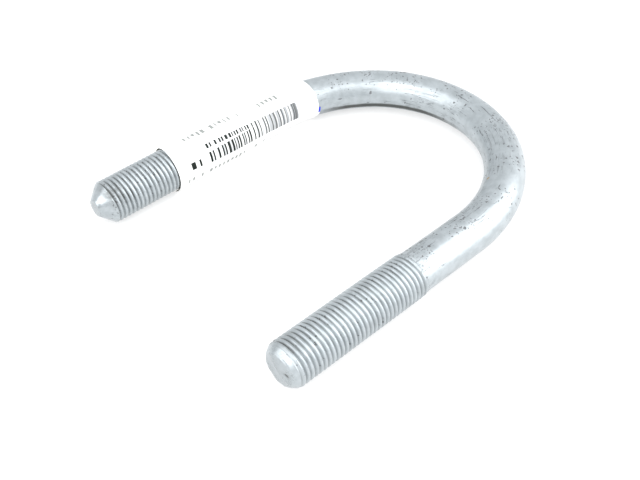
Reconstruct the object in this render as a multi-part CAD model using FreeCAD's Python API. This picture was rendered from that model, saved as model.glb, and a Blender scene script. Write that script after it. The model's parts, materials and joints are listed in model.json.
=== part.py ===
import FreeCAD, Part
import math
import os

# U-bolt with two threaded legs and a wrapped paper label. All sizes in millimetres.
# The bar's centre line lies in the plane Z = 0: the legs run along -Y, the bow closes the
# +Y side, and the origin is half way between the legs where the bow begins.

# bar
thread_diameter = 14.0
thread_pitch = 1.5
thread_length = 50.0
shank_diameter = 13.1
leg_spacing = 85.6
leg_length = 73.0
bow_height = 46.1
bow_blend_angle = 45.0

# thread form after hot-dip coating
thread_depth = 0.72
crest_width = 0.34
root_width = 0.30
runout_length = 1.6

# coned leg tips: the bare leg's is blunt, the labelled leg's runs to a small flat
bare_cone_width = 1.85
bare_cone_length = 2.85
labelled_cone_width = 4.15
labelled_cone_length = 4.3

# paper label wound round one leg
paper_thickness = 0.15
lap_gap = 0.03
label_clearance = 0.02
label_length = 58.0
label_height = 55.0
label_from_tip = 26.9
label_inner_edge_angle = 0.0

# derived sizes
crest_radius = thread_diameter / 2.0
shank_radius = shank_diameter / 2.0
half_spacing = leg_spacing / 2.0
label_radius = max(crest_radius, shank_radius) + label_clearance
label_turn = math.degrees(label_height / (label_radius + paper_thickness))
label_growth = (paper_thickness + lap_gap) / 360.0

X_AXIS = FreeCAD.Vector(1, 0, 0)
Y_AXIS = FreeCAD.Vector(0, 1, 0)
Z_AXIS = FreeCAD.Vector(0, 0, 1)


def turned_leg(cone_width, cone_length):
    """One leg before threading, standing on Z with its tip up."""
    thread_start = leg_length - thread_length
    flat_radius = crest_radius - cone_width
    outline = [
        FreeCAD.Vector(0, 0, 0),
        FreeCAD.Vector(shank_radius, 0, 0),
        FreeCAD.Vector(shank_radius, 0, thread_start),
        FreeCAD.Vector(crest_radius, 0, thread_start + runout_length),
        FreeCAD.Vector(crest_radius, 0, leg_length - cone_length),
        FreeCAD.Vector(flat_radius, 0, leg_length),
        FreeCAD.Vector(0, 0, leg_length),
        FreeCAD.Vector(0, 0, 0),
    ]
    face = Part.Face(Part.makePolygon(outline))
    return face.revolve(FreeCAD.Vector(0, 0, 0), Z_AXIS, 360)


def thread_groove():
    """The helical groove of one leg, from the run-out to past the tip."""
    groove_start = leg_length - thread_length + thread_pitch / 2.0
    groove_height = thread_length + thread_pitch
    root_radius = crest_radius - thread_depth
    over = 0.3
    flank = (thread_pitch - crest_width - root_width) / 2.0
    mouth = root_width / 2.0 + flank * (thread_depth + over) / thread_depth
    helix = Part.makeHelix(thread_pitch, groove_height, root_radius)
    profile = Part.makePolygon([
        FreeCAD.Vector(root_radius, 0, -root_width / 2.0),
        FreeCAD.Vector(root_radius, 0, root_width / 2.0),
        FreeCAD.Vector(crest_radius + over, 0, mouth),
        FreeCAD.Vector(crest_radius + over, 0, -mouth),
        FreeCAD.Vector(root_radius, 0, -root_width / 2.0),
    ])
    sweep = Part.BRepOffsetAPI.MakePipeShell(helix)
    sweep.setFrenetMode(True)
    sweep.add(profile)
    sweep.build()
    sweep.makeSolid()
    groove = sweep.shape()
    groove.translate(FreeCAD.Vector(0, 0, groove_start))
    return groove


def threaded_leg(cone_width, cone_length, centre_x):
    """One finished leg, laid along -Y with its root at Y = 0."""
    leg = turned_leg(cone_width, cone_length).cut(thread_groove())
    leg.rotate(FreeCAD.Vector(0, 0, 0), X_AXIS, 90)
    leg.translate(FreeCAD.Vector(centre_x, 0, 0))
    return leg


def bow_radii():
    """Radius of the bow's flanks and of its top, from its width and height."""
    angle = math.radians(bow_blend_angle)
    reach = 1.0 / math.cos(angle) - math.tan(angle)
    flank = (bow_height - half_spacing * reach) / (1.0 - reach)
    top = flank - (flank - half_spacing) / math.cos(angle)
    return flank, top


def bent_length(start_x, start_y, centre_x, centre_y, direction, degrees):
    """A bar length bent about a vertical axis, from a cross-section across the bar."""
    start = FreeCAD.Vector(start_x, start_y, 0)
    ring = Part.makeCircle(shank_radius, start, direction)
    centre = FreeCAD.Vector(centre_x, centre_y, 0)
    return Part.Face(Part.Wire(ring)).revolve(centre, Z_AXIS, degrees)


def bow():
    """The bent part between the legs, as two flanks and a tighter top."""
    flank, top = bow_radii()
    angle = math.radians(bow_blend_angle)
    top_y = (flank - half_spacing) * math.tan(angle)
    joint_x = top * math.cos(angle)
    joint_y = top_y + top * math.sin(angle)
    along = FreeCAD.Vector(-math.sin(angle), math.cos(angle), 0)
    right = bent_length(half_spacing, 0, half_spacing - flank, 0, Y_AXIS, bow_blend_angle)
    crown = bent_length(joint_x, joint_y, 0, top_y, along, 180.0 - 2.0 * bow_blend_angle)
    left = bent_length(-half_spacing, 0, flank - half_spacing, 0, Y_AXIS, -bow_blend_angle)
    return [right, crown, left]


def u_bolt():
    """The whole bent bar."""
    bare = threaded_leg(bare_cone_width, bare_cone_length, half_spacing)
    labelled = threaded_leg(labelled_cone_width, labelled_cone_length, -half_spacing)
    return bare.fuse(bow() + [labelled])


def spiral_point(turn, offset):
    """A point of the wound paper's section, about the labelled leg's axis."""
    radius = label_radius + label_growth * turn + offset
    angle = math.radians(label_inner_edge_angle - turn)
    x = -half_spacing + radius * math.cos(angle)
    return FreeCAD.Vector(x, 0, radius * math.sin(angle))


def label_section():
    """The wound paper's section, a spiral of a little over one turn."""
    steps = int(label_turn / 10.0)
    turns = [label_turn * i / steps for i in range(steps + 1)]
    inner = Part.BSplineCurve()
    inner.interpolate([spiral_point(t, 0.0) for t in turns])
    outer = Part.BSplineCurve()
    outer.interpolate([spiral_point(t, paper_thickness) for t in turns])
    start = Part.makeLine(spiral_point(0.0, 0.0), spiral_point(0.0, paper_thickness))
    end = Part.makeLine(spiral_point(label_turn, paper_thickness), spiral_point(label_turn, 0.0))
    edges = [inner.toShape(), end, outer.toShape(), start]
    return Part.Face(Part.Wire(Part.__sortEdges__(edges)))


def paper_label():
    """The label: wound straight along the leg, and round into the bow where it is longer."""
    room = leg_length - label_from_tip
    straight = min(label_length, room)
    section = label_section()
    section.translate(FreeCAD.Vector(0, straight - room, 0))
    leg_part = section.extrude(FreeCAD.Vector(0, -straight, 0))
    if straight == label_length:
        return leg_part
    flank, top = bow_radii()
    bent_angle = math.degrees((label_length - straight) / flank)
    centre = FreeCAD.Vector(flank - half_spacing, 0, 0)
    return leg_part.fuse(section.revolve(centre, Z_AXIS, -bent_angle))


def single_solid(shape):
    """The one solid a finished piece must be."""
    solids = shape.Solids
    if len(solids) != 1:
        raise RuntimeError("expected one solid, got %d" % len(solids))
    return solids[0]


def main():
    """Build both pieces and write one STEP file each."""
    os.makedirs("parts", exist_ok=True)
    pieces = {"u_bolt": u_bolt(), "paper_label": paper_label()}
    for name, shape in pieces.items():
        solid = single_solid(shape)
        solid.exportStep("parts/" + name + ".step")
        print(name, round(solid.Volume, 1), "mm3, valid:", solid.isValid())


main()
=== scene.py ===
"""Looks for a zinc-coated U-bolt with a paper label wound round one leg.

Every length is in metres unless a name says otherwise. The legs run along -Y, the bow closes the
+Y side and the bar's centre line lies in Z = 0.
"""
import json
import logging
import math
from collections.abc import Callable, Iterable, Mapping
from dataclasses import dataclass, field
from enum import Enum
from typing import Any

import bpy
from bpy.types import ID, Material, Mesh, Node, NodeTree, Object
from bpy.types import NodeSocket as Socket
from mathutils import Matrix, Vector


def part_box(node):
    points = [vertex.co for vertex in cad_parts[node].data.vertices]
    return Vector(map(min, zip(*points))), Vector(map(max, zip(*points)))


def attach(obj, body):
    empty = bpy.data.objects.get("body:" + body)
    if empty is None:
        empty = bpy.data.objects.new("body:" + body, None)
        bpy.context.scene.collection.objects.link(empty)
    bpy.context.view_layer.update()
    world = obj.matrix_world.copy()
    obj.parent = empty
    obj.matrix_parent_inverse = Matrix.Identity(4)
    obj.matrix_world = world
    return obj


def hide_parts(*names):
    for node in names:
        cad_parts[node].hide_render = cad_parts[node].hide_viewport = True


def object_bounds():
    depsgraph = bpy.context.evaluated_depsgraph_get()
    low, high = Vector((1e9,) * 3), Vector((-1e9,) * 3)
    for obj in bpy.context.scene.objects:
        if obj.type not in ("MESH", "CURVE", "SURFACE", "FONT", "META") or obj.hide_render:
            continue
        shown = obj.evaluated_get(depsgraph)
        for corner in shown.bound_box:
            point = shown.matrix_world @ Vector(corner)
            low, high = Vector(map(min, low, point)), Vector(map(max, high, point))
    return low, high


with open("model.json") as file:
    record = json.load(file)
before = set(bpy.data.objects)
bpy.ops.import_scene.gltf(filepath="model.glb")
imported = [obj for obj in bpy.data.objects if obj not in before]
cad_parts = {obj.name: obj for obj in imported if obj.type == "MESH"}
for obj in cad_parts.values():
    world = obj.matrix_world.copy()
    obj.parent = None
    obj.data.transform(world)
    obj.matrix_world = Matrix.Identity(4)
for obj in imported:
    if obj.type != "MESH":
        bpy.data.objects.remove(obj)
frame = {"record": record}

CAD_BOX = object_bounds()

MM = 0.001
BODY = "root"
BAR_NODE = "u_bolt"
LABEL_NODE = "paper_label"
BAR_COORDS = "bar_coords"
GROOVE = "groove"
SHEET_CHART = "sheet"
LABEL_GAP = 0.03 * MM
UP = (0.0, 0.0, 1.0)

Colour = tuple[float, float, float, float]
Span = tuple[float, float]

log = logging.getLogger("u_bolt")


class Slot(Enum):
    """Material slots named in the record; the pieces' finishes are built here without reading them."""

    ZINC = "zinc_coated_steel"
    PAPER = "label_paper"


def maths(operation: str, reflected: bool = False) -> Callable[..., "Scalar"]:
    """Make a method of Scalar from a Math node's operation.

    Args:
        operation: The operation.
        reflected: Whether the scalar comes last instead of first.

    Returns:
        The method, which takes the node's other inputs as numbers or scalars.
    """

    def method(self: "Scalar", *others: Any) -> "Scalar":
        """Add the node and wrap its result."""
        values = (*others, self) if reflected else (self, *others)
        made = self.graph.node("ShaderNodeMath", {"operation": operation}, dict(enumerate(values)))
        return Scalar(self.graph, made.outputs[0])

    return method


@dataclass(frozen=True, eq=False)
class Scalar:
    """A number in a node tree that Python's own operators can work on."""

    graph: "Graph"
    socket: Socket

    __add__, __radd__ = maths("ADD"), maths("ADD", True)
    __sub__, __rsub__ = maths("SUBTRACT"), maths("SUBTRACT", True)
    __mul__, __rmul__ = maths("MULTIPLY"), maths("MULTIPLY", True)
    __truediv__, __mod__ = maths("DIVIDE"), maths("FLOORED_MODULO")
    __pow__, __abs__ = maths("POWER"), maths("ABSOLUTE")
    __gt__, __lt__ = maths("GREATER_THAN"), maths("LESS_THAN")
    cos, exp, floor = maths("COSINE"), maths("EXPONENT"), maths("FLOOR")
    low, high, soft_low = maths("MINIMUM"), maths("MAXIMUM"), maths("SMOOTH_MIN")
    angle_from = maths("ARCTAN2")

    def step(self, start: Any, end: Any) -> "Scalar":
        """Climb smoothly from 0 to 1.

        Args:
            start: Where the climb starts.
            end: Where it ends.

        Returns:
            0 up to the start, 1 from the end on.
        """
        settings = {"interpolation_type": "SMOOTHSTEP"}
        sockets = {"Value": self, "From Min": start, "From Max": end}
        made = self.graph.node("ShaderNodeMapRange", settings, sockets)
        return Scalar(self.graph, made.outputs[0])

    def band(self, start: float, end: float, edge: float) -> "Scalar":
        """1 between start and end, with soft edges of the given width."""
        return self.step(start - edge, start + edge) * (1.0 - self.step(end - edge, end + edge))


@dataclass(frozen=True)
class Graph:
    """A node tree that is built in code."""

    tree: NodeTree

    def node(
        self,
        kind: str,
        settings: Mapping[str, Any] | None = None,
        sockets: Mapping[int | str, Any] | None = None,
    ) -> Node:
        """Add a node.

        Args:
            kind: The node's type.
            settings: Properties to set first.
            sockets: Values or links for inputs, by index or name.

        Returns:
            The new node.
        """
        made = self.tree.nodes.new(kind)
        for name, value in (settings or {}).items():
            setattr(made, name, value)
        for key, value in (sockets or {}).items():
            source = value.socket if isinstance(value, Scalar) else value
            if isinstance(source, Socket):
                self.tree.links.new(source, made.inputs[key])
            else:
                made.inputs[key].default_value = source
        return made

    def scalar(self, socket: Socket) -> Scalar:
        """Wrap an output as a number."""
        return Scalar(self, socket)

    def vector(self, operation: str, *values: Any) -> Socket:
        """Vector Math on the values, giving a vector."""
        made = self.node("ShaderNodeVectorMath", {"operation": operation}, dict(enumerate(values)))
        return made.outputs["Vector"]

    def dot(self, one: Any, other: Any) -> Scalar:
        """Scalar product of two vectors."""
        made = self.node("ShaderNodeVectorMath", {"operation": "DOT_PRODUCT"}, {0: one, 1: other})
        return self.scalar(made.outputs["Value"])

    def scaled(self, vector: Any, factor: Any) -> Socket:
        """A vector times a number."""
        made = self.node("ShaderNodeVectorMath", {"operation": "SCALE"}, {0: vector, "Scale": factor})
        return made.outputs["Vector"]

    def parts(self, vector: Any) -> tuple[Scalar, Scalar, Scalar]:
        """A vector's X, Y and Z."""
        made = self.node("ShaderNodeSeparateXYZ", None, {0: vector})
        return tuple(self.scalar(out) for out in made.outputs)

    def joined(self, x: Any, y: Any, z: Any) -> Socket:
        """A vector from three numbers."""
        return self.node("ShaderNodeCombineXYZ", None, {0: x, 1: y, 2: z}).outputs[0]

    def attribute(self, name: str, output: str) -> Socket:
        """A stored attribute, read from the named output."""
        return self.node("ShaderNodeAttribute", {"attribute_name": name}).outputs[output]

    def noise(self, vector: Any, scale: float, detail: float = 2.0, rough: float = 0.5) -> Scalar:
        """Cloudy values between 0 and 1.

        Args:
            vector: Where the pattern is read.
            scale: Clouds in one unit of the vector.
            detail: How many finer layers it has.
            rough: How strong the finer layers are.

        Returns:
            The noise.
        """
        sockets = {"Vector": vector, "Scale": scale, "Detail": detail, "Roughness": rough}
        return self.scalar(self.node("ShaderNodeTexNoise", None, sockets).outputs["Fac"])

    def dice(self, value: Any) -> Scalar:
        """A fixed random number from 0 to 1 for each value."""
        made = self.node("ShaderNodeTexWhiteNoise", {"noise_dimensions": "1D"}, {"W": value})
        return self.scalar(made.outputs["Value"])

    def cells(self, vector: Any, scale: float) -> tuple[Scalar, Scalar, Scalar]:
        """Scattered points.

        Args:
            vector: Where the pattern is read.
            scale: Points in one unit of the vector.

        Returns:
            The distance to the nearest point, and two random numbers that it carries.
        """
        made = self.node("ShaderNodeTexVoronoi", None, {"Vector": vector, "Scale": scale})
        first, second, _ = self.parts(made.outputs["Color"])
        return self.scalar(made.outputs["Distance"]), first, second

    def blend(self, amount: Any, one: Any, other: Any) -> Socket:
        """Colour that goes from one to other as amount goes from 0 to 1."""
        sockets = {"Factor": amount, 6: one, 7: other}
        return self.node("ShaderNodeMix", {"data_type": "RGBA"}, sockets).outputs[2]

    def layered(self, tone: Any, layers: Iterable[tuple[Any, Colour]]) -> Any:
        """Lay colours over a tone, the last one on top.

        Args:
            tone: The colour underneath.
            layers: Pairs of an amount and the colour that it lays on.

        Returns:
            The mixed colour.
        """
        for amount, colour in layers:
            tone = self.blend(amount, tone, colour)
        return tone

    def bump(self, height: Scalar, distance: float) -> Socket:
        """A normal from a height, 1 being the full distance in metres."""
        return self.node("ShaderNodeBump", None, {"Height": height, "Distance": distance}).outputs[0]

    def surface(self, sockets: Mapping[str, Any]) -> None:
        """End a material with a Principled shader that has these inputs."""
        shader = self.node("ShaderNodeBsdfPrincipled", None, sockets)
        self.node("ShaderNodeOutputMaterial", None, {"Surface": shader.outputs[0]})


def new_graph(name: str) -> tuple[Material, Graph]:
    """Start a material.

    Args:
        name: The material's name.

    Returns:
        The material, and its emptied tree.
    """
    material = bpy.data.materials.new(name)
    material.use_nodes = True
    material.node_tree.nodes.clear()
    return material, Graph(material.node_tree)


@dataclass(frozen=True)
class BentPath:
    """Centre line of the bar: two straight legs, two flanks and a tighter crown.

    A station is the distance along it from the bare leg's tip, on the +X side.
    """

    half_spacing: float
    leg_length: float
    bow_height: float
    blend_angle: float = math.radians(45.0)

    @property
    def flank_radius(self) -> float:
        """Bend radius of the bow's flanks."""
        reach = 1.0 / math.cos(self.blend_angle) - math.tan(self.blend_angle)
        return (self.bow_height - self.half_spacing * reach) / (1.0 - reach)

    @property
    def crown_radius(self) -> float:
        """Bend radius of the bow's top."""
        spare = self.flank_radius - self.half_spacing
        return self.flank_radius - spare / math.cos(self.blend_angle)

    @property
    def length(self) -> float:
        """Length from tip to tip.

        Returns:
            The length.
        """
        flank = self.flank_radius * self.blend_angle
        crown = self.crown_radius * (math.pi / 2.0 - self.blend_angle)
        return 2.0 * (self.leg_length + flank + crown)

    def at(self, station: float) -> tuple[Vector, Vector]:
        """Find a place on the line.

        Args:
            station: Distance from the bare tip; it may lie past either tip.

        Returns:
            The point, and the unit direction towards greater stations.
        """
        if station > self.length / 2.0:
            point, along = self.at(self.length - station)
            return Vector((-point.x, point.y, 0.0)), Vector((along.x, -along.y, 0.0))
        bent = station - self.leg_length
        if bent < 0.0:
            return Vector((self.half_spacing, bent, 0.0)), Vector((0.0, 1.0, 0.0))
        flank, crown = self.flank_radius, self.crown_radius
        angle = bent / flank
        centre = Vector((self.half_spacing - flank, 0.0, 0.0))
        radius = flank
        if angle > self.blend_angle:
            angle = self.blend_angle + (bent - flank * self.blend_angle) / crown
            centre = Vector((0.0, (flank - self.half_spacing) * math.tan(self.blend_angle), 0.0))
            radius = crown
        turned = Vector((math.cos(angle), math.sin(angle), 0.0))
        return centre + turned * radius, Vector((-turned.y, turned.x, 0.0))


def clamped(value: float) -> float:
    """The value, kept between 0 and 1."""
    return min(max(value, 0.0), 1.0)


def placed(name: str, data: ID) -> Object:
    """Make an object of the data.

    Args:
        name: The object's name.
        data: Its mesh, curve, light or camera.

    Returns:
        The object, linked to the scene.
    """
    made = bpy.data.objects.new(name, data)
    bpy.context.scene.collection.objects.link(made)
    return made


def mesh_from(piece: Object, name: str) -> Object:
    """Turn an object with modifiers into a plain mesh object.

    Args:
        piece: The object to evaluate; it is removed.
        name: The new object's name.

    Returns:
        The plain mesh object.
    """
    bpy.context.view_layer.update()
    seen = bpy.context.evaluated_depsgraph_get()
    mesh = bpy.data.meshes.new_from_object(piece.evaluated_get(seen), depsgraph=seen)
    bpy.data.objects.remove(piece)
    mesh.name = name
    return placed(name, mesh)


@dataclass(frozen=True)
class Spots:
    """Scattered spots: possible ones per millimetre, the part that is there, greatest radius."""

    per_mm: float
    share: float
    radius: float


@dataclass(frozen=True)
class BarSpot:
    """What the zinc's tree knows of a point of the bar, with lengths in millimetres."""

    graph: Graph
    place: Socket
    ragged: Socket
    station: Scalar
    upward: Scalar
    outward: Scalar
    from_tip: Scalar
    is_bare: Scalar
    on_thread: Scalar
    groove: Scalar


@dataclass(frozen=True)
class ZincFinish:
    """Hot-dip zinc: satin grey, mottled, pitted along its top and scuffed along the bar, with painted shade
    in the grooves, on the upper inner side and low inside the bow.
    """

    name: str = "hot_dip_zinc"
    light_tone: Colour = (0.425, 0.462, 0.482, 1.0)
    dark_tone: Colour = (0.345, 0.378, 0.394, 1.0)
    speck_tone: Colour = (0.070, 0.072, 0.075, 1.0)
    # painted shade in the grooves and the pit, with real dirt in patches; it also darkens the end flats
    shade_and_dirt_tone: Colour = (0.085, 0.090, 0.088, 1.0)
    # painted shade tone for the dark line low on the inside of the bow
    painted_shade_tone: Colour = (0.026, 0.027, 0.022, 1.0)
    ochre_tone: Colour = (0.30, 0.19, 0.06, 1.0)
    metallic: float = 0.55
    roughness: float = 0.33
    relief: float = 0.06 * MM
    bar_radius_mm: float = 6.55
    thread_end_mm: float = 48.0
    bar_length_mm: float = 285.6
    bare_flat_mm: float = 5.15
    labelled_flat_mm: float = 2.85
    # facing of the painted shade line, as parts of the bar's radius
    shade_line_outward: float = -0.883
    shade_line_upward: float = -0.469
    fine_spots: Spots = Spots(1.30, 0.80, 0.50)
    medium_spots: Spots = Spots(0.66, 0.60, 0.46)
    lone_spots: Spots = Spots(0.26, 0.16, 0.22)
    ochre_spots: Spots = Spots(0.19, 1.0, 0.13)
    rim_spots: Spots = Spots(0.95, 1.0, 0.42)

    def specks(self, spot: BarSpot, layer: Spots, crowd: Any = 1.0) -> Scalar:
        """Scattered round spots.

        Args:
            spot: The point of the bar.
            layer: How many spots there are, and how large.
            crowd: Factor on their number.

        Returns:
            1 in a spot, 0 outside.
        """
        distance, first, second = spot.graph.cells(spot.ragged, layer.per_mm)
        radius = (0.30 + second * 0.70) * layer.radius
        inside = 1.0 - (distance / radius).step(0.55, 1.0)
        return inside * (first < crowd * layer.share)

    def scuffs(self, spot: BarSpot) -> Scalar:
        """Thin drag lines along the bar, thickest on the bow's bare half, none on the threads.

        Args:
            spot: The point of the bar.

        Returns:
            1 in a line, 0 outside.
        """
        graph, place = spot.graph, spot.place
        stretched = graph.vector("MULTIPLY", place, (0.05, 1.0, 1.0))
        line = abs(graph.noise(stretched, 0.85, 3.0, 0.6) - 0.5)
        where = graph.noise(place, 0.07, 1.0).step(0.46, 0.58)
        hair = (1.0 - line.step(0.002, 0.016)) * where
        drawn = graph.vector("MULTIPLY", place, (0.13, 1.0, 1.0))
        dragged = spot.station.band(112.0, 134.0, 8.0) * 0.035
        streak = (graph.noise(drawn, 1.0, 4.0, 0.65) + dragged).step(0.640, 0.685)
        found = hair.high(streak * graph.noise(place, 0.06, 1.0).step(0.42, 0.52))
        return found * (1.0 - spot.on_thread)

    def painted_shade_line(self, spot: BarSpot) -> Scalar:
        """Painted shade: a dark line low on the inside of the bow, standing in for the contact shadow and the
        dark reflection under the bar.

        Args:
            spot: The point of the bar.

        Returns:
            How dark the line is, from 0 to 1.
        """
        # painted shade: the darkening follows the bar's facing, not a mark on the zinc
        facing = (spot.outward * self.shade_line_outward + spot.upward * self.shade_line_upward) / self.bar_radius_mm
        ragged = facing + (spot.graph.noise(spot.place, 0.35, 3.0, 0.6) - 0.5) * 0.020
        reach = spot.station.step(132.0, 156.0) * (1.0 - spot.station.step(186.0, 202.0))
        return ragged.step(0.972, 0.994) * reach * 0.92

    def rim_pits(self, spot: BarSpot) -> Scalar:
        """Pits crowded along the rim of each leg's flat and where its cone meets the thread.

        Args:
            spot: The point of the bar.

        Returns:
            1 in a pit, 0 outside.
        """
        away = (spot.upward * spot.upward + spot.outward * spot.outward) ** 0.5
        flat = self.labelled_flat_mm + spot.is_bare * (self.bare_flat_mm - self.labelled_flat_mm)
        rim = (away - flat).step(-0.9, -0.2) * (1.0 - spot.from_tip.step(0.3, 0.9))
        foot = spot.from_tip.step(1.9, 2.6) * (1.0 - spot.from_tip.step(4.6, 5.6))
        crowd = (rim * 0.52).high(foot * 0.40) * (1.0 - spot.is_bare * 0.55)
        return self.specks(spot, self.rim_spots, crowd)

    def pits(self, spot: BarSpot) -> Scalar:
        """Dark specks: crowded along the bar's top and fewer on the threads' crests.

        Args:
            spot: The point of the bar.

        Returns:
            1 in a speck, 0 outside.
        """
        topward = (spot.upward / self.bar_radius_mm).step(0.45, 0.98)
        cluster = spot.graph.noise(spot.place, 0.10, 2.0, 0.6).step(0.40, 0.62)
        crowd = cluster * (0.12 + topward * 0.88)
        fine = self.specks(spot, self.fine_spots, crowd)
        medium = self.specks(spot, self.medium_spots, crowd)
        speck = fine.high(medium).high(self.specks(spot, self.lone_spots))
        speck = speck * (1.0 - spot.on_thread * (1.0 - spot.groove.step(0.15, 0.55)) * 0.85)
        return speck.high(self.rim_pits(spot))

    def groove_shade_and_dirt(self, spot: BarSpot) -> Scalar:
        """Darkening in the grooves and about the cones' feet: painted shade in every groove and on the upper
        inner side, with patches of real dirt, and the bare tip's pit painted dark as shade.

        Args:
            spot: The point of the bar.

        Returns:
            How dark the point is made, from 0 to 1.
        """
        from_tip = spot.from_tip
        inner_top = (spot.upward * 0.80 - spot.outward * 0.45) / self.bar_radius_mm
        patch = spot.graph.noise(spot.place, 0.16, 3.0, 0.65).step(0.48, 0.64)
        near_tip = 1.0 - from_tip.step(4.0, 14.0)
        # painted shade: the upper inner side is darkened where less light falls
        shaded = inner_top.step(0.35, 0.95)
        smudge_and_shade = patch * (0.10 + shaded * 0.40) + shaded * (0.38 + near_tip * 0.25)
        # painted shade: every groove darkened, more on the upper inner side; the noise patches are dirt
        shade_and_dirt = spot.groove.step(0.30, 0.95) * (0.27 + smudge_and_shade)
        near_tip_band = from_tip.step(1.8, 3.2) * (1.0 - from_tip.step(5.0, 11.0))
        shade_and_dirt = shade_and_dirt.high(shaded * near_tip_band * (0.22 + patch * 0.48))
        # painted shade inside the bare tip's pit
        return (shade_and_dirt + spot.groove.step(1.0, 1.5) * 0.85).low(0.95)

    def spot(self, graph: Graph) -> BarSpot:
        """Read what the bar's mesh says of a point.

        Args:
            graph: The material's tree.

        Returns:
            The point of the bar.
        """
        place = graph.attribute(BAR_COORDS, "Vector")
        station, upward, outward = graph.parts(place)
        wobble = graph.node("ShaderNodeTexNoise", None, {"Vector": place, "Scale": 1.6}).outputs["Color"]
        ragged = graph.vector("ADD", place, graph.scaled(wobble, 0.9))
        from_tip = station.low(self.bar_length_mm - station)
        is_bare = station < self.bar_length_mm / 2.0
        on_thread = 1.0 - from_tip.step(self.thread_end_mm - 2.0, self.thread_end_mm + 2.0)
        groove = graph.scalar(graph.attribute(GROOVE, "Fac"))
        return BarSpot(
            graph, place, ragged, station, upward, outward, from_tip, is_bare, on_thread, groove
        )

    def build(self) -> Material:
        """Make the material.

        Returns:
            The material.
        """
        material, graph = new_graph(self.name)
        spot = self.spot(graph)
        speck, scuff = self.pits(spot), self.scuffs(spot)
        shade_and_dirt, low_inner_shade = self.groove_shade_and_dirt(spot), self.painted_shade_line(spot)
        inner = (spot.outward / -self.bar_radius_mm).step(0.35, 0.85)
        ochre = self.specks(spot, self.ochre_spots, 0.05 + inner * 0.20)
        mottle = graph.noise(spot.place, 0.33, 4.0, 0.62)
        grain = graph.noise(spot.place, 3.2, 2.0, 0.6)
        zinc = graph.blend(mottle.step(0.3, 0.7), self.dark_tone, self.light_tone)
        on_flat = 1.0 - spot.from_tip.step(0.02, 0.30)
        layers = (
            # the end flats are darkened a little with the same dark tone
            (on_flat * 0.14, self.shade_and_dirt_tone),
            (scuff * 0.7, self.speck_tone),
            # painted shade low on the inside of the bow
            (low_inner_shade, self.painted_shade_tone),
            # painted shade in the grooves and on the upper inner side, with patches of dirt
            (shade_and_dirt, self.shade_and_dirt_tone),
            (speck * 0.85, self.speck_tone),
            (ochre * 0.9, self.ochre_tone),
        )
        marks_and_shade = speck.high(ochre).high(shade_and_dirt * 0.6).high(low_inner_shade)
        polish = (1.0 - spot.from_tip.step(3.6, 5.0)) * (0.15 - spot.is_bare * 0.11)
        height = mottle * 0.5 + grain * 0.05 - speck * 0.8 - scuff * 0.35
        graph.surface(
            {
                "Base Color": graph.layered(zinc, layers),
                "Metallic": self.metallic - marks_and_shade * 0.45,
                "Roughness": self.roughness - polish + (mottle - 0.5) * 0.20 + marks_and_shade * 0.30,
                "Normal": graph.bump(height, self.relief),
            }
        )
        return material


@dataclass(frozen=True)
class TipShape:
    """One leg's coned end."""

    cone_width: float
    cone_length: float

    def flat_radius(self, crest_radius: float) -> float:
        """Radius of the flat at the very end."""
        return crest_radius - self.cone_width


@dataclass(frozen=True)
class Skin:
    """What the bar's tree knows of a point of its surface, with the tree's own inputs."""

    graph: Graph
    size: Mapping[str, Scalar]
    centre: Socket
    along: Socket
    outward: Socket
    sideways: Socket
    turn: Scalar
    station: Scalar
    depth_in: Scalar
    is_bare: Scalar
    flat: Scalar
    cone: Scalar
    across: Scalar
    upward: Scalar
    in_mm: Socket


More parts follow.
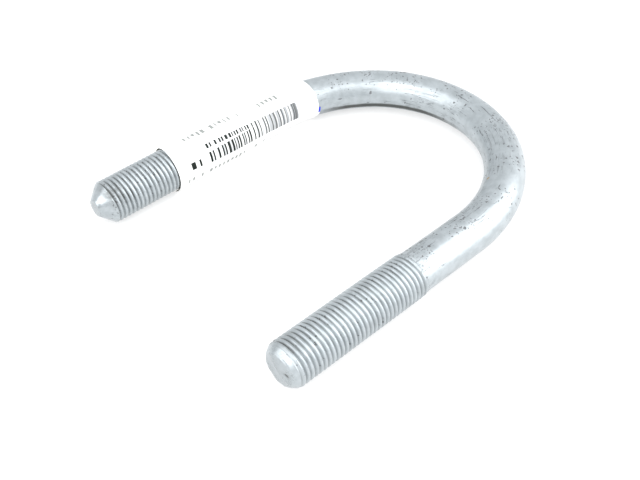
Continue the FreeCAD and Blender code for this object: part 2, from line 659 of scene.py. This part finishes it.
@dataclass
class BentBar:
    """The bent, threaded and zinc-coated bar."""

    path: BentPath
    crest_radius: float
    shank_radius: float = 6.55 * MM
    thread_pitch: float = 1.5 * MM
    thread_length: float = 49.6 * MM
    thread_depth: float = 0.74 * MM
    bare_tip: TipShape = TipShape(1.85 * MM, 2.85 * MM)
    labelled_tip: TipShape = TipShape(4.15 * MM, 4.3 * MM)
    lump_height: float = 0.10 * MM
    cone_blend: float = 0.55 * MM
    dent_depth: float = 0.8 * MM
    pit_up: float = 0.85 * MM
    pit_across: float = 3.35 * MM
    pit_radius: float = 0.60 * MM
    pit_depth: float = 0.45 * MM
    shear_facing: tuple[float, float, float] = (0.05, 0.62, 0.783)
    shear_depth: float = 3.66 * MM
    shear_blend: float = 0.5 * MM
    shear_reach: float = 6.0 * MM
    rows_per_turn: int = 12
    plain_step: float = 0.9 * MM
    sides: int = 80
    cap_rows: int = 12
    merge_gap: float = 0.002 * MM
    finish: ZincFinish = field(default_factory=ZincFinish)

    def stations(self) -> list[float]:
        """Stations of the mesh's rings: close together on the threads, further apart between.

        Returns:
            The stations in order, from past the bare tip to past the other.
        """
        bare = self.bare_tip.flat_radius(self.crest_radius)
        labelled = self.labelled_tip.flat_radius(self.crest_radius)
        step = self.thread_pitch / self.rows_per_turn
        threaded = int((self.thread_length + 2.0 * self.thread_pitch) / step)
        start = threaded * step
        end = self.path.length
        plain = int((end - 2.0 * start) / self.plain_step)
        found = [-bare + bare * i / self.cap_rows for i in range(self.cap_rows)]
        found += [i * step for i in range(threaded)]
        found += [start + (end - 2.0 * start) * i / plain for i in range(plain)]
        found += [end - start + i * step for i in range(threaded)]
        found += [end + labelled * i / self.cap_rows for i in range(self.cap_rows + 1)]
        return found

    def centre_line(self) -> Object:
        """Draw the path as a curve, run on past each tip by the radius of its flat.

        Returns:
            The curve's object.
        """
        curve = bpy.data.curves.new("centre_line", "CURVE")
        curve.dimensions = "3D"
        spline = curve.splines.new("POLY")
        places = [self.path.at(station)[0] for station in self.stations()]
        spline.points.add(len(places) - 1)
        for point, place in zip(spline.points, places):
            point.co = (*place, 1.0)
        return placed("centre_line", curve)

    def sizes(self) -> dict[str, float]:
        """List the tree's inputs.

        Returns:
            Their values by name.
        """
        bare, labelled = self.bare_tip, self.labelled_tip
        return {
            "Crest Radius": self.crest_radius,
            "Shank Radius": self.shank_radius,
            "Thread Pitch": self.thread_pitch,
            "Thread Length": self.thread_length,
            "Thread Depth": self.thread_depth,
            "Bare Flat Radius": bare.flat_radius(self.crest_radius),
            "Bare Cone Slope": bare.cone_width / bare.cone_length,
            "Labelled Flat Radius": labelled.flat_radius(self.crest_radius),
            "Labelled Cone Slope": labelled.cone_width / labelled.cone_length,
            "Lump Height": self.lump_height,
        }

    def swept(self, graph: Graph, line: Any) -> tuple[Node, Socket]:
        """Sweep a thin ring along the line.

        Args:
            graph: The bar's tree.
            line: The curve.

        Returns:
            The node that carries the line's own values on to the tube, and the tube.
        """
        flat_line = graph.node("GeometryNodeSetCurveNormal", {"mode": "Z_UP"}, {"Curve": line})
        caught = graph.node(
            "GeometryNodeCaptureAttribute", {"domain": "POINT"}, {"Geometry": flat_line.outputs[0]}
        )
        for name, kind, source, output in (
            ("centre", "VECTOR", "GeometryNodeInputPosition", "Position"),
            ("along", "VECTOR", "GeometryNodeInputTangent", "Tangent"),
            ("run", "FLOAT", "GeometryNodeSplineParameter", "Length"),
            ("whole", "FLOAT", "GeometryNodeSplineLength", "Length"),
        ):
            caught.capture_items.new(kind, name)
            graph.tree.links.new(graph.node(source).outputs[output], caught.inputs[name])
        ring = graph.node("GeometryNodeCurvePrimitiveCircle", None, {"Resolution": self.sides, "Radius": MM})
        sockets = {"Curve": caught.outputs["Geometry"], "Profile Curve": ring.outputs["Curve"]}
        return caught, graph.node("GeometryNodeCurveToMesh", None, sockets).outputs[0]

    def skin(self, graph: Graph, caught: Node, size: Mapping[str, Scalar]) -> Skin:
        """Work out where on the bar a point of the tube lies.

        Args:
            graph: The bar's tree.
            caught: The node that carries the line's values.
            size: The tree's inputs by name.

        Returns:
            The point of the surface.
        """
        centre, along = caught.outputs["centre"], caught.outputs["along"]
        here = graph.node("GeometryNodeInputPosition").outputs[0]
        outward = graph.vector("NORMALIZE", graph.vector("SUBTRACT", here, centre))
        sideways = graph.vector("CROSS_PRODUCT", along, UP)
        turn = graph.dot(outward, sideways).angle_from(graph.dot(outward, UP))

        bare_flat, labelled_flat = size["Bare Flat Radius"], size["Labelled Flat Radius"]
        station = graph.scalar(caught.outputs["run"]) - bare_flat
        whole = graph.scalar(caught.outputs["whole"]) - bare_flat - labelled_flat
        from_end = whole - station
        depth_in = station.low(from_end)
        is_bare = station < from_end
        flat = is_bare * bare_flat + (1.0 - is_bare) * labelled_flat
        slope = is_bare * size["Bare Cone Slope"] + (1.0 - is_bare) * size["Labelled Cone Slope"]
        cone = flat + depth_in.low(0.0) + depth_in.high(0.0) * slope

        reach = cone.low(self.shank_radius).high(0.0)
        across = (turn - math.pi / 2.0).cos() * reach
        upward = turn.cos() * reach
        kept = station.high(0.0).low(whole)
        in_mm = graph.scaled(graph.joined(kept, upward, across), 1.0 / MM)
        return Skin(
            graph, size, centre, along, outward, sideways, turn, station, depth_in, is_bare, flat,
            cone, across, upward, in_mm,
        )

    def relief(self, skin: Skin) -> tuple[Scalar, Scalar]:
        """Shape the bar's side: shank, threads and cones, under lumpy zinc.

        Args:
            skin: The point of the surface.

        Returns:
            Its distance from the centre line, and how far down a groove it lies.
        """
        graph, size, depth_in = skin.graph, skin.size, skin.depth_in
        end, crest = size["Thread Length"], size["Crest Radius"]
        fill = graph.noise(skin.in_mm, 0.22, 2.0, 0.6)
        swell = graph.noise(skin.in_mm, 0.12, 2.0, 0.5)
        lumps = graph.noise(skin.in_mm, 0.75, 2.0, 0.6)
        threaded = 1.0 - depth_in.step(end - 2.0 * MM, end + 1.2 * MM)
        body = size["Shank Radius"] + threaded * (crest - size["Shank Radius"])
        wave = 0.5 - (skin.station * (2.0 * math.pi) / size["Thread Pitch"] - skin.turn).cos() * 0.5
        fade = 1.0 - depth_in.step(end - 2.6 * MM, end + 0.4 * MM)
        off_cone = skin.cone.step(crest - 1.1 * MM, crest + 0.2 * MM)
        groove = wave ** 2.0 * fade * off_cone
        worn = body - groove * (size["Thread Depth"] * (0.82 + fill.step(0.3, 0.7) * 0.18))
        rounding = size["Lump Height"] * (swell * 0.9 + lumps * 0.55)
        radius = skin.cone.soft_low(worn, self.cone_blend)
        radius = (radius - rounding * (depth_in + skin.flat * 0.8).step(0.0, 3.0 * MM)).high(0.0)
        return radius, groove

    def sunk(self, skin: Skin) -> tuple[Scalar, Scalar]:
        """Wear the tips back: rounded rims, and dents and one pit on the bare leg's flat.

        Args:
            skin: The point of the surface.

        Returns:
            The depth that is gone, and how far inside the pit the point lies.
        """
        graph, depth_in, is_bare = skin.graph, skin.depth_in, skin.is_bare
        rim = (depth_in.low(0.0) + skin.flat) / skin.flat
        worn_rim = rim ** 5.0 * (0.10 + is_bare * 0.22) * MM
        gone = worn_rim * (1.0 - depth_in.high(0.0).step(0.0, 1.1 * MM))
        dent = (graph.noise(skin.in_mm, 0.30, 2.0) - 0.3).high(0.0) * self.dent_depth
        up, across = (skin.upward - self.pit_up) * 1.05, (skin.across - self.pit_across) * 0.55
        away = graph.joined(0.0, up, across)
        pit = (graph.dot(away, away) * (-1.0 / self.pit_radius ** 2)).exp() * is_bare * (depth_in < 0.0)
        gone = gone + dent * (1.0 - depth_in.step(-0.2 * MM, 1.5 * MM)) * is_bare * rim.low(1.0)
        return gone + pit * self.pit_depth, pit

    def sheared(self, skin: Skin, place: Any) -> Socket:
        """Press the bare tip's surface back to one slanting plane, as the shear left it.

        Args:
            skin: The point of the surface.
            place: Where it has been moved to.

        Returns:
            The point, moved where it stood beyond the plane.
        """
        graph = skin.graph
        across, out, up = self.shear_facing
        mask = skin.is_bare * (skin.depth_in < self.shear_reach)
        facing = graph.vector(
            "ADD", graph.scaled(skin.sideways, across), graph.scaled(skin.along, -out)
        )
        facing = graph.vector("ADD", facing, (0.0, 0.0, up))
        tip = (self.path.half_spacing, -self.path.leg_length, 0.0)
        short = self.shear_depth - graph.dot(graph.vector("SUBTRACT", place, tip), facing)
        back = graph.scaled(facing, short.soft_low(0.0, self.shear_blend) * mask)
        return graph.vector("ADD", place, back)

    def tree(self, material: Material) -> NodeTree:
        """Build the Geometry Nodes tree that turns the path into the bar.

        Args:
            material: The bar's finish.

        Returns:
            The tree.
        """
        tree = bpy.data.node_groups.new("threaded_bar", "GeometryNodeTree")
        face = tree.interface
        face.new_socket("Geometry", in_out="INPUT", socket_type="NodeSocketGeometry")
        for name in self.sizes():
            face.new_socket(name, in_out="INPUT", socket_type="NodeSocketFloat")
        face.new_socket("Geometry", in_out="OUTPUT", socket_type="NodeSocketGeometry")
        graph = Graph(tree)
        given = graph.node("NodeGroupInput").outputs
        size = {name: graph.scalar(given[name]) for name in self.sizes()}

        caught, tube = self.swept(graph, given["Geometry"])
        skin = self.skin(graph, caught, size)
        radius, groove = self.relief(skin)
        gone, pit = self.sunk(skin)
        shift = (gone - skin.depth_in.low(0.0)) * (skin.is_bare * 2.0 - 1.0)
        moved = graph.vector("ADD", skin.centre, graph.scaled(skin.along, shift))
        moved = graph.vector("ADD", moved, graph.scaled(skin.outward, radius))
        moved = self.sheared(skin, moved)

        shaped = graph.node("GeometryNodeSetPosition", None, {"Geometry": tube, "Position": moved}).outputs[0]
        for name, kind, value in (
            (BAR_COORDS, "FLOAT_VECTOR", skin.in_mm),
            # the pit is stored above 1 so that the zinc paints shade in it
            (GROOVE, "FLOAT", groove.high(pit * 2.0)),
        ):
            settings = {"data_type": kind, "domain": "POINT"}
            sockets = {"Geometry": shaped, "Name": name, "Value": value}
            shaped = graph.node("GeometryNodeStoreNamedAttribute", settings, sockets).outputs[0]
        for kind, sockets in (
            ("GeometryNodeMergeByDistance", {"Distance": self.merge_gap}),
            ("GeometryNodeSetShadeSmooth", {}),
            ("GeometryNodeRealizeInstances", {}),
            ("GeometryNodeSetMaterial", {"Material": material}),
        ):
            shaped = graph.node(kind, None, {"Geometry": shaped, **sockets}).outputs[0]
        graph.node("NodeGroupOutput", None, {"Geometry": shaped})
        return tree

    def build(self) -> Object:
        """Make the bar and put it in place of its plain CAD solid.

        Returns:
            The finished piece.
        """
        line = self.centre_line()
        modifier = line.modifiers.new("threaded_bar", "NODES")
        modifier.node_group = self.tree(self.finish.build())
        sizes = self.sizes()
        for item in modifier.node_group.interface.items_tree:
            if item.in_out == "INPUT" and item.name in sizes:
                modifier[item.identifier] = sizes[item.name]
        bar = mesh_from(line, "zinc_bar")
        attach(bar, BODY)
        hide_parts(BAR_NODE)
        return bar


@dataclass(frozen=True)
class SheetSpot:
    """A place on the flat label: millimetres along it and across it."""

    graph: Graph
    along: Scalar
    across: Scalar


@dataclass(frozen=True)
class PaperFinish:
    """White label stock with generic printed marks: bars, ticks and two blocks."""

    name: str = "label_paper"
    width_mm: float = 58.0
    height_mm: float = 55.0
    paper_tone: Colour = (0.88, 0.88, 0.875, 1.0)
    fibre_tone: Colour = (0.78, 0.78, 0.76, 1.0)
    ink_tone: Colour = (0.010, 0.014, 0.012, 1.0)
    haze_tone: Colour = (0.20, 0.215, 0.235, 1.0)
    faint_tone: Colour = (0.12, 0.14, 0.13, 1.0)
    blue_tone: Colour = (0.02, 0.04, 0.62, 1.0)
    roughness: float = 0.5
    sheen: float = 0.12
    relief: float = 0.12 * MM
    bar_pitch_mm: float = 1.52
    slim_pitch_mm: float = 2.17
    tick_pitch_mm: float = 1.75
    haze_pitch_mm: float = 0.26
    bars_along: Span = (12.0, 50.0)
    bars_across: Span = (40.1, 46.5)
    crease_across_mm: float = 42.4
    crease_end_mm: float = 32.0
    upper_row: Span = (33.7, 36.4)
    lower_row: Span = (48.9, 51.0)
    lower_shift_mm: float = 20.0
    block_row: Span = (43.8, 46.1)

    def bar_field(self, spot: SheetSpot) -> Scalar:
        """Where bars may stand: a long box with a crease of bare paper that thins out.

        Args:
            spot: The place.

        Returns:
            1 where they may, 0 elsewhere.
        """
        along, across = spot.along, spot.across
        box = along.band(*self.bars_along, 0.05) * across.band(*self.bars_across, 0.07)
        middle = self.crease_across_mm - (along - self.bars_along[0]) * 0.035
        half = ((self.crease_end_mm - along) * 0.034).high(0.0)
        crease = 1.0 - (abs(across - middle) - half).step(-0.12, 0.12)
        return box * (1.0 - crease * (along < self.crease_end_mm))

    def bars(self, spot: SheetSpot) -> Scalar:
        """Upright bars of random width and place, with slim ones between.

        Args:
            spot: The place.

        Returns:
            1 where there is ink.
        """
        graph, along = spot.graph, spot.along
        cell = (along / self.bar_pitch_mm).floor()
        inside = (along / self.bar_pitch_mm) % 1.0
        half = 0.13 + graph.dice(cell + 11.0) ** 2.0 * 0.14 + (1.0 - along.step(16.0, 36.0)) * 0.05
        middle = 0.24 + graph.dice(cell + 47.0) * 0.52
        wide = 1.0 - (abs(inside - middle) - half).step(-0.04, 0.04)
        slim_cell = (along / self.slim_pitch_mm).floor()
        slim_inside = (along / self.slim_pitch_mm) % 1.0
        slim = 1.0 - (abs(slim_inside - 0.5) - 0.09).step(-0.03, 0.03)
        return wide.high(slim * (graph.dice(slim_cell + 83.0) > 0.5))

    def ticks(self, spot: SheetSpot, row: Span, shift: float = 0.0) -> Scalar:
        """A row of short uneven marks.

        Args:
            spot: The place.
            row: Where the row starts and ends across the label.
            shift: How far along the pattern it starts, for marks unlike another row's.

        Returns:
            1 where there is ink.
        """
        low, high = row
        graph, along, across = spot.graph, spot.along + shift, spot.across
        cell = (along / self.tick_pitch_mm).floor()
        inside = (along / self.tick_pitch_mm) % 1.0
        width = 0.16 + graph.dice(cell + 7.0) * 0.20
        top = high - graph.dice(cell + 31.0) * (high - low) * 0.4
        stroke = 1.0 - (abs(inside - 0.5) - width).step(-0.06, 0.06)
        tall = across.step(low - 0.1, low + 0.1) * (1.0 - (across - top).step(-0.1, 0.1))
        return stroke * tall * (graph.dice(cell + 3.0) > 0.15)

    def blocks(self, spot: SheetSpot) -> Scalar:
        """Two plain blocks, a squarish one and a slim one.

        Args:
            spot: The place.

        Returns:
            1 where there is ink.
        """
        squarish, slim = spot.along.band(5.1, 6.8, 0.06), spot.along.band(8.2, 9.0, 0.06)
        return squarish.high(slim) * spot.across.band(*self.block_row, 0.06)

    def build(self) -> Material:
        """Make the material.

        Returns:
            The material.
        """
        material, graph = new_graph(self.name)
        place = graph.node("ShaderNodeUVMap", {"uv_map": SHEET_CHART}).outputs[0]
        first, second, _ = graph.parts(place)
        along = first * self.width_mm
        across = second * self.height_mm
        sheet = graph.joined(along, across, 0.0)

        worn = graph.noise(sheet, 4.0, 2.0, 0.7)
        spot = SheetSpot(graph, along, across)
        space = self.bar_field(spot)
        slim = graph.dice((along / self.haze_pitch_mm).floor() + 5.0) > 0.5
        haze = space * (0.14 + slim * 0.42 + along.step(30.0, 46.0) * 0.30)
        ink = (space * self.bars(spot)).high(self.blocks(spot))
        ink = ink * (1.0 - along.step(28.0, 46.0) * 0.24)
        upper_run = along.band(7.5, 29.0, 0.1).high(along.band(36.0, 46.0, 0.1))
        upper = self.ticks(spot, self.upper_row) * upper_run * (0.62 + worn * 0.38)
        lower_run = along.band(3.3, 27.0, 0.1).high(along.band(31.0, 36.5, 0.1))
        lower = self.ticks(spot, self.lower_row, self.lower_shift_mm) * lower_run
        corner = along.band(57.0, 61.0, 0.05) * across.band(-2.0, 2.4, 0.2)
        fibre = graph.noise(sheet, 2.2, 3.0, 0.7)
        layers = (
            (fibre * 0.6, self.fibre_tone),
            (haze, self.haze_tone),
            (upper, self.faint_tone),
            (lower * (0.65 + worn * 0.35), self.faint_tone),
            (ink, self.ink_tone),
            (corner, self.blue_tone),
        )
        cockle = graph.noise(sheet, 0.16, 2.0)
        graph.surface(
            {
                "Base Color": graph.layered(self.paper_tone, layers),
                "Roughness": self.roughness + fibre * 0.12 + ink * 0.1,
                "Specular IOR Level": self.sheen,
                "Normal": graph.bump(cockle + fibre * 0.05, self.relief),
            }
        )
        return material


@dataclass(frozen=True)
class GumAndGapShadeFinish:
    """The label's gummed inner side: a dull, yellowish paper, its tone darkened as painted shade for the gap
    under the label's lifted edges.
    """

    name: str = "gummed_back_and_shade"
    # partly the gum's own colour, partly painted shade for the gap under the lifted edges
    tone: Colour = (0.22, 0.205, 0.11, 1.0)
    stain: Colour = (0.12, 0.11, 0.06, 1.0)
    roughness: float = 0.7
    relief: float = 0.02 * MM
    stains_per_metre: float = 400.0

    def build(self) -> Material:
        """Make the material.

        Returns:
            The material.
        """
        material, graph = new_graph(self.name)
        place = graph.node("ShaderNodeTexCoord").outputs["Object"]
        patch = graph.noise(place, self.stains_per_metre, 3.0, 0.6)
        graph.surface(
            {
                "Base Color": graph.blend(patch, self.tone, self.stain),
                "Roughness": self.roughness + patch * 0.1,
                "Normal": graph.bump(patch, self.relief),
            }
        )
        return material


@dataclass
class WoundLabel:
    """A paper label wound a little over one turn round the labelled leg, slightly askew.

    Its first lap lies on the bar and climbs only just before it meets its own free edge.
    The sheet keeps its own length: where it runs on round the bend it reaches further along
    the bar on the bend's inner side than on its outer side.
    """

    path: BentPath
    inner_radius: float
    from_tip: float = 26.7 * MM
    width: float = 58.0 * MM
    height: float = 55.0 * MM
    thickness: float = 0.13 * MM
    lap_growth: float = 0.18 * MM
    climb_from: float = math.radians(318.0)
    climb_over: float = math.radians(36.0)
    loose_from: float = math.radians(200.0)
    near_gap: float = 0.34 * MM
    near_fade: float = 1.7 * MM
    far_gap: float = 0.06 * MM
    far_fade: float = 1.2 * MM
    shank_drop: float = 0.50 * MM
    drop_from: float = 50.0 * MM
    drop_over: float = 12.0 * MM
    skew: float = math.radians(2.5)
    skew_middle: float = 47.8 * MM
    skew_limit: float = 22.0 * MM
    columns: int = 160
    rows: int = 110
    paper: PaperFinish = field(default_factory=PaperFinish)
    back: GumAndGapShadeFinish = field(default_factory=GumAndGapShadeFinish)

    def axial(self, along: float, across: float) -> float:
        """Distance from the leg's tip, along the paper, of a spot of the flat sheet."""
        wander = min(self.skew_middle - across, self.skew_limit)
        return self.from_tip + along + wander * math.sin(self.skew)

    def lift(self, along: float, angle: float, turn: float) -> float:
        """How far the sheet's loose edges stand off the bar.

        Args:
            along: Distance from the sheet's edge nearest the tip.
            angle: Angle about the leg, 0 on the side towards the other leg and growing upwards.
            turn: Angle wound so far.

        Returns:
            The height of the gap.
        """
        if turn < self.loose_from:
            return 0.0
        near_edge = math.exp(-along / self.near_fade)
        below = self.near_gap * math.exp(-(((angle + 0.35) / 0.9) ** 2))
        above = self.near_gap * math.exp(-(((angle - 2.15) / 0.6) ** 2))
        far_edge = math.exp(-(self.width - along) / self.far_fade)
        return near_edge * (below + above) + far_edge * self.far_gap

    def place(self, along: float, across: float) -> Vector:
        """Find where a spot of the flat sheet ends up.

        Args:
            along: Distance along the sheet from its edge nearest the tip.
            across: Distance round from the sheet's inner free edge.

        Returns:
            The point on the sheet's outer face.
        """
        arc = across + (along - self.width) * math.sin(self.skew)
        turn = arc / (self.inner_radius + self.thickness)
        angle = -turn
        wrapped = angle + 2.0 * math.pi if turn > math.pi else angle
        from_tip = self.axial(along, across)
        dropped = self.shank_drop * clamped((from_tip - self.drop_from) / self.drop_over)
        radius = self.inner_radius + self.thickness - dropped
        climb = clamped((turn - self.climb_from) / self.climb_over)
        radius += self.lap_growth * climb * climb * (3.0 - 2.0 * climb)
        radius += self.lift(along, wrapped, turn)
        past = from_tip - self.path.leg_length
        if past > 0.0:
            flank = self.path.flank_radius
            from_tip = self.path.leg_length + past * flank / (flank - radius * math.cos(angle))
        centre, onward = self.path.at(self.path.length - from_tip)
        inward = Vector((-onward.y, onward.x, 0.0))
        return centre + (inward * math.cos(angle) + Vector(UP) * math.sin(angle)) * radius

    def face_outwards(self, mesh: Mesh) -> None:
        """Turn the sheet's faces so that they point away from the leg.

        Args:
            mesh: The sheet.
        """
        middle = mesh.polygons[len(mesh.polygons) // 3]
        leg = Vector((-self.path.half_spacing, middle.center.y, 0.0))
        if middle.normal.dot(middle.center - leg) < 0.0:
            mesh.flip_normals()

    def build(self) -> Object:
        """Make the label and put it in place of its plain CAD solid.

        Returns:
            The finished piece.
        """
        columns, rows = self.columns, self.rows
        spots = [(i / rows, j / columns) for i in range(rows + 1) for j in range(columns + 1)]
        places = [self.place(first * self.width, second * self.height) for first, second in spots]
        wide = columns + 1
        faces = [
            (i * wide + j, i * wide + j + 1, (i + 1) * wide + j + 1, (i + 1) * wide + j)
            for i in range(rows)
            for j in range(columns)
        ]
        mesh = bpy.data.meshes.new("label_sheet")
        mesh.from_pydata(places, [], faces)
        chart = mesh.uv_layers.new(name=SHEET_CHART)
        for loop in mesh.loops:
            chart.data[loop.index].uv = spots[loop.vertex_index]
        mesh.materials.append(self.paper.build())
        mesh.materials.append(self.back.build())
        self.face_outwards(mesh)
        sheet = placed("label_sheet", mesh)
        wall = sheet.modifiers.new("paper", "SOLIDIFY")
        wall.thickness = self.thickness
        wall.offset = -1.0
        wall.material_offset = 1
        label = mesh_from(sheet, "wound_label")
        for polygon in label.data.polygons:
            polygon.use_smooth = True
        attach(label, BODY)
        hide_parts(LABEL_NODE)
        return label


@dataclass(frozen=True)
class SoftBox:
    """A square soft light that faces the origin, with its power in watts."""

    name: str
    power: float
    side: float
    towards: tuple[float, float, float]
    away: float

    def hang(self) -> None:
        """Put the light in the scene."""
        lamp = bpy.data.lights.new(self.name, "AREA")
        lamp.shape = "SQUARE"
        lamp.size = self.side
        lamp.energy = self.power
        where = Vector(self.towards) * self.away
        turned = where.to_track_quat("Z", "Y").to_matrix().to_4x4()
        placed(self.name, lamp).matrix_world = Matrix.Translation(where) @ turned


@dataclass(frozen=True)
class Studio:
    """White floor, soft lights and the camera."""

    floor_half: float = 9.0
    floor_tone: Colour = (0.38, 0.38, 0.38, 1.0)
    floor_roughness: float = 0.9
    glow_tone: Colour = (1.0, 1.0, 1.0, 1.0)
    floor_glow: float = 0.57
    air_tone: Colour = (0.95, 0.975, 1.0, 1.0)
    air_strength: float = 0.78
    side_box: SoftBox = SoftBox("side_box", 14.0, 1.15, (0.62, 0.58, 0.50), 0.95)
    top_box: SoftBox = SoftBox("top_box", 10.4, 1.12, (0.07, -0.62, 0.72), 0.85)
    lens_mm: float = 49.271
    sensor_mm: float = 36.0
    clip: Span = (0.01, 20.0)
    azimuth: float = math.radians(48.69)
    elevation: float = math.radians(43.564)
    roll: float = math.radians(-1.714)
    distance: float = 278.78 * MM
    slide_right: float = -14.11 * MM
    slide_up: float = -23.09 * MM

    def camera(self) -> None:
        """Place the camera."""
        flat = math.cos(self.elevation)
        back = Vector(
            (math.sin(self.azimuth) * flat, -math.cos(self.azimuth) * flat, math.sin(self.elevation))
        )
        level = Vector(UP).cross(back).normalized()
        upright = back.cross(level)
        right = level * math.cos(self.roll) + upright * math.sin(self.roll)
        up = upright * math.cos(self.roll) - level * math.sin(self.roll)
        lens = bpy.data.cameras.new("camera")
        lens.sensor_width = self.sensor_mm
        lens.lens = self.lens_mm
        lens.clip_start, lens.clip_end = self.clip
        camera = placed("camera", lens)
        turned = Matrix((right, up, back)).transposed().to_4x4()
        where = back * self.distance + right * self.slide_right + up * self.slide_up
        camera.matrix_world = Matrix.Translation(where) @ turned
        bpy.context.scene.camera = camera

    def floor(self, level: float) -> None:
        """Lay the floor.

        Args:
            level: Its height.
        """
        half = self.floor_half
        mesh = bpy.data.meshes.new("floor")
        corners = [(-half, -half, level), (half, -half, level), (half, half, level), (-half, half, level)]
        mesh.from_pydata(corners, [], [(0, 1, 2, 3)])
        material, graph = new_graph("white_floor")
        graph.surface(
            {
                "Base Color": self.floor_tone,
                "Roughness": self.floor_roughness,
                "Emission Color": self.glow_tone,
                "Emission Strength": self.floor_glow,
            }
        )
        mesh.materials.append(material)
        floor = placed("floor", mesh)

    def build(self, level: float) -> None:
        """Set up the whole studio.

        Args:
            level: The floor's height.
        """
        scene = bpy.context.scene
        scene.view_settings.view_transform = "Standard"
        world = bpy.data.worlds.new("studio")
        scene.world = world
        world.use_nodes = True
        world.node_tree.nodes.clear()
        graph = Graph(world.node_tree)
        sockets = {"Color": self.air_tone, "Strength": self.air_strength}
        air = graph.node("ShaderNodeBackground", None, sockets)
        graph.node("ShaderNodeOutputWorld", None, {"Surface": air.outputs[0]})
        self.floor(level)
        self.side_box.hang()
        self.top_box.hang()
        self.camera()


def stud_sizes() -> tuple[float, float]:
    """Read the studs' mount.

    Returns:
        Half the legs' spacing and the threads' crest radius.
    """
    mount = next(entry for entry in frame["record"]["mounts"] if entry["name"] == "studs")
    return mount["dims"]["spacing_x_mm"] * MM / 2.0, mount["dims"]["stud_r_mm"] * MM


def main() -> None:
    """Build every piece and the studio."""
    logging.basicConfig(level=logging.INFO, format="%(name)s: %(message)s")
    half_spacing, crest_radius = stud_sizes()
    low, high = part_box(BAR_NODE)
    path = BentPath(half_spacing, -low.y, high.y - BentBar.shank_radius)
    bar = BentBar(path, crest_radius)
    label = WoundLabel(path, crest_radius + LABEL_GAP)
    for piece in (bar.build(), label.build()):
        piece.data.calc_loop_triangles()
        log.info("%s: %d triangles", piece.name, len(piece.data.loop_triangles))
    floor_level = CAD_BOX[0].z
    Studio().build(floor_level)


if __name__ == "__main__":
    main()
